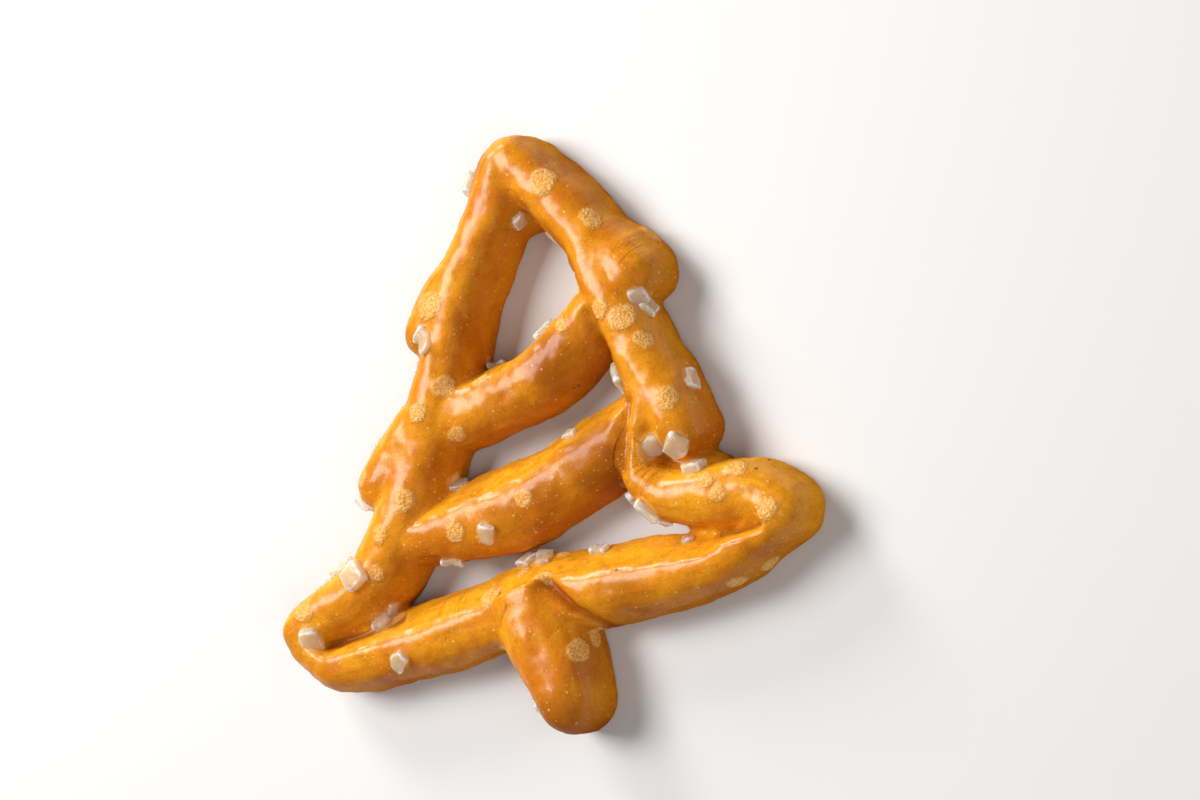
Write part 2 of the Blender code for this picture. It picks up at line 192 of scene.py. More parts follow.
def section(width, depth, left_shelf, right_shelf, shrink=1.0):
    """Outline of a rope cut across, as (offset to the left, height) pairs."""
    left = side_outline(width / 2, depth, left_shelf)
    right = side_outline(width / 2, depth, right_shelf)
    outline = [(-u, z) for u, z in right] + [(0.0, depth)] + left[::-1]
    centre = depth * BULGE_HEIGHT
    flat = 1 - CAP_DROP * (1 - shrink)
    return [(u * shrink, centre + (z - centre) * flat) for u, z in outline]


print("corners round a rope:", len(section(5.0, 6.0, 0, 0)))

# %% [markdown]
# Rings of that outline are set along the route and joined with faces. A free end closes
# with rings that shrink along a quarter circle, as a rounded tip of dough does.


# %% Rings along a route
def loft(mesh, route, depth, left_shelf, right_shelf, free_ends):
    """Add one rope to the mesh."""
    stations = []
    for k, (x, y, width) in enumerate(route):
        before = route[max(k - 1, 0)]
        after = route[min(k + 1, len(route) - 1)]
        along = Vector((after[0] - before[0], after[1] - before[1])).normalized()
        stations.append((Vector((x, y)), along, width, 1.0))
    for free, end, sign in ((free_ends[0], 0, -1), (free_ends[1], -1, 1)):
        if not free:
            continue
        place, along, width, _ = stations[end]
        caps = []
        for k in range(1, CAP_STEPS + 1):
            angle = k / CAP_STEPS * CAP_END
            reach = sign * width / 2 * math.sin(angle)
            caps.append((place + along * reach, along, width, math.cos(angle)))
        stations = stations + caps if sign > 0 else caps[::-1] + stations
    rings = []
    for place, along, width, shrink in stations:
        across = Vector((-along.y, along.x))
        ring = []
        for u, z in section(width, depth, left_shelf, right_shelf, shrink):
            spot = place + across * u
            ring.append(mesh.verts.new((spot.x * MM, spot.y * MM, z * MM)))
        rings.append(ring)
    size = len(rings[0])
    for ring, following in zip(rings, rings[1:]):
        for k in range(size):
            n = (k + 1) % size
            mesh.faces.new((ring[k], following[k], following[n], ring[n]))
    mesh.faces.new(rings[0])
    mesh.faces.new(rings[-1][::-1])


ropes = bmesh.new()
for name, rope in ROPES.items():
    loft(ropes, ROUTES[name], *rope[:-1])
bmesh.ops.recalc_face_normals(ropes, faces=ropes.faces)
print("faces of the ropes:", len(ropes.faces))

# %% [markdown]
# Baked dough has no seams where ropes cross. A Boolean would join them but leave hard
# creases. Voxel Remesh makes one even skin over all of them, and Smooth then rounds the
# places where they meet. The grid is fine enough for the small relief that follows.

# %% One skin over all ropes
VOXEL = 0.21
SOFT_STEPS = 16


def keep_what_modifiers_make(obj):
    """Turn what the modifiers make into the object's own mesh."""
    graph = bpy.context.evaluated_depsgraph_get()
    made = bpy.data.meshes.new_from_object(obj.evaluated_get(graph))
    obj.modifiers.clear()
    spent = obj.data
    obj.data = made
    bpy.data.meshes.remove(spent)


crust = bpy.data.objects.new("crust", bpy.data.meshes.new("crust"))
bpy.context.scene.collection.objects.link(crust)
ropes.to_mesh(crust.data)
ropes.free()
skin = crust.modifiers.new("one skin", "REMESH")
skin.mode = "VOXEL"
skin.voxel_size = VOXEL * MM
skin.adaptivity = 0.0
soften = crust.modifiers.new("soften", "SMOOTH")
soften.factor = 0.5
soften.iterations = SOFT_STEPS
keep_what_modifiers_make(crust)
print("faces of the skin:", len(crust.data.polygons))

# %% [markdown]
# From here on the points are handled as arrays, in millimetres. Two short helpers read
# them from the mesh and write them back.


# %% Points as arrays
def read_points(mesh, attribute="co"):
    """Places or normals of all points of a mesh."""
    flat = np.empty(len(mesh.vertices) * 3, dtype=np.float32)
    mesh.vertices.foreach_get(attribute, flat)
    return flat.reshape(-1, 3).astype(float)


def write_points(mesh, points):
    """Move the points of a mesh."""
    mesh.vertices.foreach_set("co", (points * MM).astype(np.float32).ravel())
    mesh.update()


def wavy(points, size, shift=0.0):
    """Smooth noise between about -1 and 1, its lumps about so many millimetres wide."""
    return np.array([noise.noise(Vector(p)) for p in points / size + shift])


def rise(values, low, high):
    """0 below low, 1 above high and a soft step between."""
    share = np.clip((values - low) / (high - low), 0, 1)
    return share * share * (3 - 2 * share)


points = read_points(crust.data) / MM
normals = read_points(crust.data, "normal")
print("points:", len(points))

# %% [markdown]
# Dough swells unevenly in the oven, and where two ropes were pressed together a crease
# stays. The swelling is noise along the normals. The creases push the surface down, and
# fade out near the back. Then the back is pressed flat, as the belt does.

# %% Swelling, creases and the flat back
UNEVENNESS = ((5.5, 0.34), (1.7, 0.10))
CREASES = (
    (0.9, 0.55, ((-22.2, -15.2), (-19.2, -14.7), (-15.6, -13.8))),
    (1.0, 0.50, ((-0.8, -12.4), (1.4, -14.5), (3.8, -16.4))),
    (0.6, 0.50, ((5.4, 7.2), (5.8, 5.0), (6.2, 3.0))),
    (0.6, 0.50, ((8.0, 0.2), (7.4, -2.2), (6.9, -4.8))),
    (0.8, 0.40, ((13.6, -10.4), (15.8, -10.5), (17.6, -10.2))),
)
CREASE_FLOOR = 2.2
BACK_CUT = 0.35
BACK_EDGE = 0.12


def away_from(points, places):
    """Distance of each point, seen from above, from a line through the places."""
    best = np.full(len(points), np.inf)
    for start, end in zip(np.array(places), np.array(places[1:])):
        run = end - start
        share = np.clip((points[:, :2] - start) @ run / (run @ run), 0, 1)
        foot = start + share[:, None] * run
        best = np.minimum(best, np.hypot(*(points[:, :2] - foot).T))
    return best


swell = sum(amount * wavy(points, size) for size, amount in UNEVENNESS)
sink = np.zeros(len(points))
for depth, half_width, places in CREASES:
    sink = np.maximum(sink, depth * np.exp(-((away_from(points, places) / half_width) ** 2)))
points += normals * swell[:, None]
points[:, 2] -= sink * np.clip(points[:, 2] / CREASE_FLOOR - 1, 0, 1)
above = points[:, 2] - BACK_CUT
pressed = above < 0
points[:, 2] = np.where(above > 4 * BACK_EDGE, above,
                        BACK_EDGE * np.log1p(np.exp(np.minimum(above, 1) / BACK_EDGE)))
points[pressed, 2] *= rise(above[pressed], -2 * BACK_EDGE, 0)
write_points(crust.data, points)
print("points on the flat back:", int(pressed.sum()))

# %% [markdown]
# ## Where salt and spots lie
# A place is given by the rope it is on, how far along that rope (0 to 1), how far round
# it from the crest (1 is the left wall, -1 the right) and its size. A ray from inside
# the rope finds the surface there, so a grain never floats or sinks out of sight.

# %% Grains and spots by rope
SALT = {
    "left side": ((0.074, 0.71, 1.2), (0.640, 0.80, 1.5), (0.685, -0.79, 1.6),
                  (0.817, -0.07, 2.1), (0.850, 0.85, 1.6), (0.981, 0.24, 1.8)),
    "right side": ((0.630, 0.50, 1.5), (1.036, 0.36, 1.8)),
    "upper left branch": ((0.983, 0.20, 1.5),),
    "lower right branch": ((-0.260, 0.66, 1.3), (0.634, 0.75, 1.3), (1.218, -0.08, 1.8)),
    "upper bar": ((0.675, 0.66, 1.5),),
    "lower bar": ((-0.071, -0.88, 1.2), (0.190, -0.71, 1.4), (0.236, 0.96, 1.3),
                  (0.745, 0.70, 1.2)),
    "foot": ((0.216, -0.24, 1.6), (0.485, 0.95, 1.5), (0.512, 0.90, 1.5), (0.619, 0.89, 1.3),
             (0.791, 0.73, 1.0)),
    "curl": ((0.466, -0.35, 1.6), (0.506, -0.64, 1.3)),
    "notch web": ((0.832, -0.04, 1.7),),
}
SPOTS = {
    "left side": ((-0.018, 0.60, 2.3), (0.412, 0.25, 2.0),
                  (0.573, 0.96, 1.2), (0.783, 0.17, 1.5)),
    "right side": ((0.618, -0.09, 1.7), (0.678, 0.16, 2.3), (0.762, 0.30, 1.7)),
    "upper left branch": ((0.604, 0.00, 2.6),),
    "lower left branch": ((-0.083, 0.59, 1.7), (0.758, 0.49, 1.8), (1.040, -0.22, 1.5),
                          (1.198, 0.50, 1.6)),
    "upper right branch": ((0.077, 0.39, 1.9), (0.753, 1.09, 1.8)),
    "upper bar": ((-0.051, 0.12, 1.8), (0.258, 0.36, 1.6), (0.740, 0.72, 1.3),
                  (0.792, 0.17, 1.4)),
    "lower bar": ((0.271, -0.18, 1.8), (0.537, -0.08, 1.6)),
    "foot": ((-0.016, 0.41, 1.9), (0.429, 0.29, 2.3), (0.531, 0.31, 1.5), (0.546, 1.02, 1.2),
             (0.861, -0.64, 1.6), (0.909, -0.91, 1.8), (0.986, 0.66, 2.0)),
    "curl": ((0.033, 0.43, 2.0), (0.766, -0.01, 1.3), (0.993, -0.06, 1.9)),
    "notch web": ((1.086, -0.09, 1.7),),
    "trunk": ((-0.128, -0.01, 1.3), (0.599, 0.97, 1.7), (0.686, 0.57, 2.1)),
}
surface = BVHTree.FromObject(crust, bpy.context.evaluated_depsgraph_get())


def place_on_rope(name, share, turn):
    """Point and normal of the surface, share of the way along a rope and round it."""
    route = ROUTES[name]
    steps = share * (len(route) - 1)
    k = min(len(route) - 2, max(1, round(steps)))
    along = Vector((route[k + 1][0] - route[k - 1][0], route[k + 1][1] - route[k - 1][1], 0))
    along.normalize()
    across = Vector((-along.y, along.x, 0))
    angle = turn * math.pi / 2
    start = Vector((route[k][0], route[k][1], ROPES[name][0] * BULGE_HEIGHT))
    start = (start + along * (steps - k) * STEP) * MM
    outward = across * math.sin(angle) + Vector((0, 0, math.cos(angle)))
    spot, normal, _, _ = surface.ray_cast(start, outward)
    return spot, normal


salt = [(*place_on_rope(name, share, turn), size)
        for name, grains in SALT.items() for share, turn, size in grains]
spots = [(*place_on_rope(name, share, turn), size)
         for name, marks in SPOTS.items() for share, turn, size in marks]
print("grains:", len(salt), "spots:", len(spots))

# %% [markdown]
# The walls that face away get salt too. Their places are drawn at random with a fixed
# seed and kept only where they face away, stand clear of each other and of the back.

# %% More of both on the far walls
SEEN_FROM = Vector((0.50, -0.10, 0.86))
FAR_SALT = 16
FAR_SPOTS = 8
FAR_SIZES = (1.3, 2.1)
FAR_GAP = 2.6
FAR_SHARES = (0.04, 0.96)
FAR_TURNS = (0.55, 1.15)
FAR_FACING = -0.15
FAR_LOWEST = 1.6
SEED = 13


def far_places(count, taken, chance):
    """Evenly scattered places on the walls that are turned away."""
    names = [name for name in ROPES if not name.endswith("web")]
    found = []
    while len(found) < count:
        name = chance.choice(names)
        turn = chance.uniform(*FAR_TURNS) * chance.choice((-1, 1))
        share = chance.uniform(*FAR_SHARES)
        size = chance.uniform(*FAR_SIZES)
        spot, normal = place_on_rope(name, share, turn)
        near = any((spot - other).length < FAR_GAP * MM for other in taken)
        if near or normal.dot(SEEN_FROM) > FAR_FACING or spot.z < FAR_LOWEST * MM:
            continue
        taken.append(spot)
        found.append((spot, normal, size))
    return found


chance = random.Random(SEED)
taken = [place[0] for place in salt + spots]
salt += far_places(FAR_SALT, taken, chance)
spots += far_places(FAR_SPOTS, taken, chance)
print("with the far walls:", len(salt), "grains and", len(spots), "spots")

# %% [markdown]
# A grain lies turned at random, and its length, breadth and height vary a little. The
# same seed gives the same draws as in the solid part, so both show the same salt.

# %% How each grain and spot lies
GRAIN_SHAPE = (0.54, 0.45, 0.31)
GRAIN_RANGE = (0.85, 1.15)
GRAIN_LIFT = 0.08

lie = random.Random(SEED + 1)
grains = []
for spot, normal, size in salt:
    shape = [size * share * lie.uniform(*GRAIN_RANGE) for share in GRAIN_SHAPE]
    grains.append((spot, normal, lie.uniform(0, math.tau), size, shape))
marks = [(spot, normal, lie.uniform(0, math.tau), width) for spot, normal, width in spots]
print("longest grain:", round(2 * max(grain[4][0] for grain in grains), 2), "mm")

# %% [markdown]
# ## Relief and maps of the crust
# Under each spot the dough stands up as a low cushion with a ragged outline, and round a
# grain it swells a little. Separate discs would show a seam, so the skin itself is raised
# there. How far inside the outline a point lies is kept, to colour the spot by later.

# %% Raised spots
SPOT_BREADTH = 0.85
SPOT_PROUD = 0.07
SPOT_RIM = 0.34
SPOT_REACH = 1.1
RAGGED = ((3, 1, 0.05), (5, -2, 0.03))
FAR_OFF = -2.0


def oval_depth(spot, normal, spin, width):
    """How far each point lies inside a ragged oval on the surface, in millimetres."""
    turn = normal.to_track_quat("Z", "Y").to_matrix() @ Matrix.Rotation(spin, 3, "Z")
    local = (points - np.array(spot) / MM) @ np.array(turn)
    angle = np.arctan2(local[:, 1], local[:, 0])
    ragged = 1 + sum(amount * np.sin(waves * angle + shift * spin)
                     for waves, shift, amount in RAGGED)
    radius = np.hypot(local[:, 0], local[:, 1] / SPOT_BREADTH) / ragged
    return np.where(np.abs(local[:, 2]) < SPOT_REACH, width / 2 - radius, FAR_OFF)


points = read_points(crust.data) / MM
normals = read_points(crust.data, "normal")
spot_depth = np.full(len(points), FAR_OFF)
for spot, normal, spin, width in marks:
    spot_depth = np.maximum(spot_depth, oval_depth(spot, normal, spin, width))
seat_depth = np.full(len(points), FAR_OFF)
for spot, normal, spin, size, shape in grains:
    seat_depth = np.maximum(seat_depth, oval_depth(spot, normal, spin, 2 * shape[0]))
print("points inside a spot:", int((spot_depth > 0).sum()))

# %% [markdown]
# Fine marks on baked dough follow the rope: streaks run along it and wrinkles cross it.
# So each point gets its distance along the nearest rope and its distance round it. Each
# rope starts far from the last, so no two show the same marks. Where two ropes are about
# as near, neither owns the point, and the marks fade out instead of breaking off.

# %% Along and round the ropes
ROPE_GAP = 60.0
AXIS_HEIGHT = 2.2
ROUND_RADIUS = 2.8
CLEARLY_NEARER = (0.05, 0.5)

along = np.zeros(len(points))
offset = np.zeros(len(points))
half_width = np.ones(len(points))
shelf = np.zeros(len(points))
nearness = np.full(len(points), np.inf)
second = np.full(len(points), np.inf)
for number, (name, rope) in enumerate(ROPES.items()):
    if name.endswith("web"):
        continue
    route = np.array(ROUTES[name])
    gone = ROPE_GAP * number
    best = np.full(len(points), np.inf)
    here = np.zeros((3, len(points)))
    for start, end in zip(route, route[1:]):
        run = end[:2] - start[:2]
        length = np.hypot(*run)
        reach = points[:, :2] - start[:2]
        share = np.clip(reach @ run / length**2, 0, 1)
        away = np.hypot(*(reach - share[:, None] * run).T)
        side = (run[0] * reach[:, 1] - run[1] * reach[:, 0]) / length
        closer = away < best
        best[closer] = away[closer]
        half = (start[2] + share * (end[2] - start[2])) / 2
        here[:, closer] = np.array([gone + share * length, side, half])[:, closer]
        gone += length
    relative = best / here[2]
    nearest = relative < nearness
    second = np.where(nearest, nearness, np.minimum(second, relative))
    nearness = np.where(nearest, relative, nearness)
    for kept, found in ((along, here[0]), (offset, here[1]), (half_width, here[2])):
        kept[nearest] = found[nearest]
    shelf[nearest] = rope[1]
own = rise(second - nearness, *CLEARLY_NEARER)
around = ROUND_RADIUS * np.arctan2(offset, points[:, 2] - AXIS_HEIGHT)
print("points that belong to one rope:", int((own > 0.5).sum()))

# %% [markdown]
# The pressed bars keep a crisp edge that catches the light. Smoothing has rounded it, so
# a thin uneven bead of dough is laid back along it. A slight ripple breaks up the gloss
# all over, as on the real skin. All of it moves the points in one go, along the normals.

# %% The crisp edges and the final surface
BEAD_HEIGHT = 0.10
BEAD_HALF_WIDTH = 0.28
BEAD_MEAN = 0.45
BEAD_CHANGE = 0.75
BEAD_LUMPS = (0.9, 3.0)
TOP = (3.3, 4.3)
SEAT_PROUD = 0.05
SEAT_RIM = (-0.35, -0.05)
# Width of the lumps, shift of the pattern and height
RIPPLES = ((1.1, 5.0, 0.055), (0.55, 9.0, 0.026))
RIPPLE_START = (0.1, 0.6)

bead_at = half_width - shelf
bead = np.exp(-(((offset - bead_at) / BEAD_HALF_WIDTH) ** 2)) * own * (shelf > 0)
bead *= rise(points[:, 2], *TOP) * (BEAD_MEAN + BEAD_CHANGE * wavy(points, *BEAD_LUMPS))
raised = SPOT_PROUD * rise(spot_depth, -SPOT_RIM, SPOT_RIM)
raised += SEAT_PROUD * rise(seat_depth, *SEAT_RIM)
ripple = sum(height * wavy(points, size, shift) for size, shift, height in RIPPLES)
ripple *= rise(points[:, 2], *RIPPLE_START)
points += normals * (raised + BEAD_HEIGHT * bead + ripple)[:, None]
write_points(crust.data, points)
print("tallest bead:", round(BEAD_HEIGHT * float(bead.max()), 3), "mm")

# %% [markdown]
# The oven colours the crust unevenly: some places brown, some stay pale and yellowish, and the
# dough wrinkled where it was bent. Some patches are painted light and shade instead: the brown ones
# on the bars and on the foot's right face are painted shade, and the pale ones on the foot's upper
# wall and on the curl are painted light and a painted highlight. A painted picture could hold that,
# but it would need a map of the surface. Soft round patches in a list do, and can be moved by hand.

# %% Patches of browning and painted shade, pale dough and painted light, and wrinkles
# Each is a place, a reach and a strength
# The patches on the two bars and on the foot's right face are painted shade; those at the tips and
# ends are browning of the crust.
BROWNED_AND_SHADED = (
    (-0.5, -23.6, 4.2, 0.95), (10.6, 8.8, 3.0, 0.50), (-4.2, 21.4, 3.0, 0.85),
    (3.4, 19.8, 2.4, 0.45), (11.9, -3.2, 2.2, 0.45), (-27.0, -15.0, 3.2, 0.45),
    (-11.5, 7.5, 2.4, 0.35), (20.6, -10.6, 2.0, 0.25), (6.0, -14.4, 3.4, 0.55),
    (4.6, -3.6, 4.6, 0.85), (2.6, 3.6, 4.6, 0.70), (-4.0, -7.4, 3.4, 0.45),
    (-3.4, 2.0, 3.0, 0.40), (-7.2, -4.3, 2.2, 0.45), (0.2, -5.6, 3.0, 0.55),
)
# Partly dough that stayed pale and partly painted light: the two on the foot's upper wall near its
# left end are painted light and a painted highlight, and those on the curl are painted light.
PALE_AND_LIT = (
    (-7.0, 11.3, 3.6, 0.35), (-2.0, 20.0, 2.6, 0.30), (8.3, 2.6, 2.6, 0.35),
    (-22.6, -14.8, 2.8, 0.70), (-18.8, -15.1, 3.2, 0.80), (-26.2, -14.4, 2.4, 0.40),
    (12.0, -9.1, 3.8, 0.70), (17.5, -5.8, 3.8, 0.70), (20.4, -8.8, 3.6, 0.60),
    (-4.7, -16.5, 1.8, 0.50), (6.6, -10.6, 2.6, 0.40),
)
WRINKLED = (
    (7.8, -4.2, 3.2, 1), (7.8, 0.4, 1.8, 1), (-5.0, -13.4, 2.4, 1), (-10.5, -13.6, 2.4, 1),
    (9.6, 11.6, 2.2, 1),
)


def patches(listed, core):
    """Soft round patches, full up to this share of their reach and gone at its end."""
    found = np.zeros(len(points))
    for x, y, reach, strength in listed:
        away = np.hypot(points[:, 0] - x, points[:, 1] - y)
        found = np.maximum(found, strength * rise(-away, -reach, -core * reach))
    return found


browned_and_shaded = patches(BROWNED_AND_SHADED, 0.3)
light = patches(PALE_AND_LIT, 0.3)
wrinkled = patches(WRINKLED, 0.4)
print("points in a wrinkled patch:", int((wrinkled > 0.5).sum()))

# %% [markdown]
# The rest follows the shape. Walls that face the tip of the tree are yellower: the dough there is
# less baked, and the yellow is partly painted light from the light beyond the tip. Walls that face
# the foot are darkened as painted shade. The outer left wall is browner, the low parts are browner
# and partly painted shade, and the creases are darkened as painted shade. The glaze ran off steep
# walls, so it is thick only on faces that look up.

# %% Walls, creases, back and glaze
TOWARDS_TIP = np.array((-0.45, 0.88, 0.10))
TOWARDS_FOOT = np.array((0.55, -0.80, -0.10))
LEFT_BROWN = 0.85
FOOTWARD_SHADE = 0.38
LOW_BROWN_AND_SHADE = 0.42
CREASE_SHADE = 0.85
LEAST_GLAZE = 0.07
MORE_GLAZE = 0.45
GLAZE_BY_HEIGHT = 0.12
GLAZE_HEIGHT = 4

# Each pair of numbers below is where a share starts and where it is full
normals = read_points(crust.data, "normal")
height = points[:, 2]
outer_left = rise(-normals[:, 0], 0.35, 0.9) * rise(points[:, 1], -4.0, 8.0)
browned_and_shaded = np.maximum(browned_and_shaded, LEFT_BROWN * outer_left * rise(height, 0.8, 3.0))
# Yellowish walls facing the tip: less baked dough, partly painted light
yellow_and_lit = np.maximum(rise(normals @ TOWARDS_TIP, 0.25, 0.85), light)
# Painted shade on walls that face the foot
footward_shade = FOOTWARD_SHADE * rise(normals @ TOWARDS_FOOT, 0.15, 0.75)
# Low parts: browner crust and partly painted shade
low = LOW_BROWN_AND_SHADE * rise(-height, -2.4, -0.6)
browned_and_shaded = np.maximum(browned_and_shaded, (1 - light) * np.maximum(footward_shade, low))
# Painted shade in the creases
browned_and_shaded = np.maximum(browned_and_shaded, CREASE_SHADE * rise(sink, 0.40, 0.80))
back = rise(-normals[:, 2], 0.55, 0.9) * rise(-height, -0.35, -0.1)
upward = normals[:, 2] + GLAZE_BY_HEIGHT * (height - GLAZE_HEIGHT)
glazed = (LEAST_GLAZE + MORE_GLAZE * rise(upward, -0.1, 0.55)) * rise(height, 0.8, 2.8)
print("mean browning:", round(float(browned_and_shaded.mean()), 2))

# %% [markdown]
# The maps are stored on the mesh, where a material can read them by name. The middle of
# the tree isn't at the origin of the routes' numbers, so last the crust is moved there,
# by as much as the solid part.


# %% Keep the maps and centre the crust
TO_ORIGIN = Vector((2.8, 0.85, 0.0)) * MM


def keep_map(mesh, name, values):
    """Store one number for each point of a mesh."""
    stored = mesh.attributes.new(name, "FLOAT", "POINT")
    stored.data.foreach_set("value", np.asarray(values, dtype=np.float32))


for name, values in {"spot_depth": spot_depth, "seat_depth": seat_depth, "own": own,
                     "browned_and_shaded": browned_and_shaded, "yellow_and_lit": yellow_and_lit, "back": back,
                     "wrinkled": wrinkled, "glazed": glazed}.items():
    keep_map(crust.data, name, values)
lay = crust.data.attributes.new("lay", "FLOAT_VECTOR", "POINT")
lay_values = np.stack([along, around, np.zeros(len(points))], axis=1)
lay.data.foreach_set("vector", lay_values.astype(np.float32).ravel())
crust.data.transform(Matrix.Translation(TO_ORIGIN))
crust.data.shade_smooth()
print("maps on the crust:", [a.name for a in crust.data.attributes if a.domain == "POINT"])

# %% [markdown]
# ## The salt
# Coarse pretzel salt is pressed grains: small blocks with worn corners, often two or
# three grown together. A plain cube would look cut. So each kind of crystal is a few
# blocks fused by Voxel Remesh, worn well round by Smooth and thinned to a few hundred
# faces. It is then scaled to reach from -1 to 1 each way. The rim, kept for the material,
# is the middle one of a point's three distances from the centre: near 1 along an edge.

# %% Kinds of crystal
KINDS = 6
FIRST_SEED = 40
LONE_BLOCK = (1.7, 1.7, 1.8)
GROWN_BLOCK = (1.2, 1.4, 1.5)
BLOCK_RANGE = (0.85, 1.1)
BLOCK_TILT = 0.3
BLOCK_SLIDE = (0.25, 0.2)
CRYSTAL_VOXEL = 0.08
WEAR_STEPS = 180
CRYSTAL_FACES = 420

kinds = bpy.data.collections.new("kinds of crystal")
bpy.context.scene.collection.children.link(kinds)
for kind in range(KINDS):
    chance = random.Random(FIRST_SEED + kind)
    alone = kind % 3 == 0
    blocks = bmesh.new()
    for block in range(1 + kind % 3):
        made = bmesh.ops.create_cube(blocks, size=1.0)
        reach = LONE_BLOCK if alone else GROWN_BLOCK
        sized = Matrix.Diagonal([side * chance.uniform(*BLOCK_RANGE) for side in reach] + [1])
        turn = Matrix.Rotation(chance.uniform(-BLOCK_TILT, BLOCK_TILT), 4, chance.choice("XYZ"))
        slides = [chance.uniform(-slide, slide) for slide in BLOCK_SLIDE]
        shift = Vector((0.5 - block, *slides))
        shift *= 0 if alone else 1
        bmesh.ops.transform(blocks, matrix=Matrix.Translation(shift) @ turn @ sized,
                            verts=made["verts"])
    crystal = bpy.data.objects.new(f"crystal {kind}", bpy.data.meshes.new(f"crystal {kind}"))
    blocks.to_mesh(crystal.data)
    blocks.free()
    kinds.objects.link(crystal)
    fuse = crystal.modifiers.new("fuse", "REMESH")
    fuse.mode = "VOXEL"
    fuse.voxel_size = CRYSTAL_VOXEL
    wear = crystal.modifiers.new("wear", "SMOOTH")
    wear.factor = 0.5
    wear.iterations = WEAR_STEPS
    keep_what_modifiers_make(crystal)
    thin = crystal.modifiers.new("thin", "DECIMATE")
    thin.ratio = CRYSTAL_FACES / (2 * len(crystal.data.polygons))
    keep_what_modifiers_make(crystal)
    bounds = read_points(crystal.data)
    middle, half = (bounds.max(0) + bounds.min(0)) / 2, (bounds.max(0) - bounds.min(0)) / 2
    crystal.data.transform(Matrix.Diagonal((*(1 / half), 1)) @ Matrix.Translation(-middle))
    rim = np.sort(np.abs(read_points(crystal.data)), axis=1)[:, 1]
    keep_map(crystal.data, "rim", rim)

# %% [markdown]
# Geometry Nodes set one crystal on each place. The places are the points of a small
# mesh whose attributes say which kind, how it is turned and how large it is. Wearing took
# some of each crystal's bulk, so it is made a little wider and flatter than its block.

# %% The places of the grains
WORN_FULLER = 1.18
FLATTER = 0.85

places = bpy.data.meshes.new("salt")
places.from_pydata(
    [TO_ORIGIN + spot + normal * GRAIN_LIFT * size * MM
     for spot, normal, spin, size, shape in grains], [], [])
turns = [(normal.to_track_quat("Z", "Y") @ Matrix.Rotation(spin, 3, "Z").to_quaternion()).to_euler()
         for spot, normal, spin, size, shape in grains]
sizes = [Vector((shape[0] * WORN_FULLER, shape[1] * WORN_FULLER, shape[2] * FLATTER)) * MM
         for spot, normal, spin, size, shape in grains]
for name, vectors in (("turn", turns), ("size", sizes)):
    stored = places.attributes.new(name, "FLOAT_VECTOR", "POINT")
    stored.data.foreach_set("vector", [number for vector in vectors for number in vector])
kind_of = places.attributes.new("kind", "INT", "POINT")
kind_of.data.foreach_set("value", [k % KINDS for k in range(len(grains))])
salt_piece = bpy.data.objects.new("salt", places)
bpy.context.scene.collection.objects.link(salt_piece)
print("places for grains:", len(places.vertices))

# %% [markdown]
# A tree of nodes is built in code, so that it can be read and made again. Four helpers
# start a tree, add a node, read an attribute and set a modifier's inputs by their labels.


# %% Helpers for a tree of nodes
def geometry_tree(name, wanted):
    """An empty tree with the named inputs."""
    tree = bpy.data.node_groups.new(name, "GeometryNodeTree")
    tree.interface.new_socket("Geometry", in_out="OUTPUT", socket_type="NodeSocketGeometry")
    for label, kind in wanted.items():
        tree.interface.new_socket(label, in_out="INPUT", socket_type=kind)
    return tree


def add_node(tree, kind, settings=None, links=None):
    """Add a node, set it, then give its inputs values or links."""
    node = tree.nodes.new(kind)
    for key, value in (settings or {}).items():
        setattr(node, key, value)
    for key, value in (links or {}).items():
        if isinstance(value, bpy.types.NodeSocket):
            tree.links.new(value, node.inputs[key])
        else:
            node.inputs[key].default_value = value
    return node


def named(tree, name, kind):
    """The stored attribute of that name."""
    found = add_node(tree, "GeometryNodeInputNamedAttribute", {"data_type": kind}, {"Name": name})
    return found.outputs["Attribute"]


def set_inputs(modifier, values):
    """Set a modifier's inputs by their labels, through their identifiers."""
    for item in modifier.node_group.interface.items_tree:
        if item.in_out == "INPUT" and item.name in values:
            modifier[item.identifier] = values[item.name]


print("helpers for geometry nodes are ready")

# %% [markdown]
# Long sums are hard to read as nodes, so one small class turns ordinary Python sums into
# Math nodes, for the grains and for the materials.


# %% Sums that become nodes
class Wire:
    """A number, colour or vector on its way through a tree of nodes."""

    def __init__(self, socket):
        self.socket = socket

    def maths(self, operation, first, second):
        node = add_node(self.socket.id_data, "ShaderNodeMath", {"operation": operation},
                        {0: bare(first), 1: bare(second)})
        return Wire(node.outputs[0])

    def __add__(self, other):
        return self.maths("ADD", self, other)

    def __sub__(self, other):
        return self.maths("SUBTRACT", self, other)

    def __rsub__(self, other):
        return self.maths("SUBTRACT", other, self)

    def __mul__(self, other):
        return self.maths("MULTIPLY", self, other)

    def __rtruediv__(self, other):
        return self.maths("DIVIDE", other, self)

    __radd__ = __add__
    __rmul__ = __mul__


def bare(value):
    """The socket that a wire holds, or a plain value as it is."""
    return value.socket if isinstance(value, Wire) else value


print("sums of wires are ready")

# %% [markdown]
# The tree for the grains picks a crystal, turns it, sizes it and makes it real. Then a
# noise pushes the faces in and out a little, so no two grains are alike.

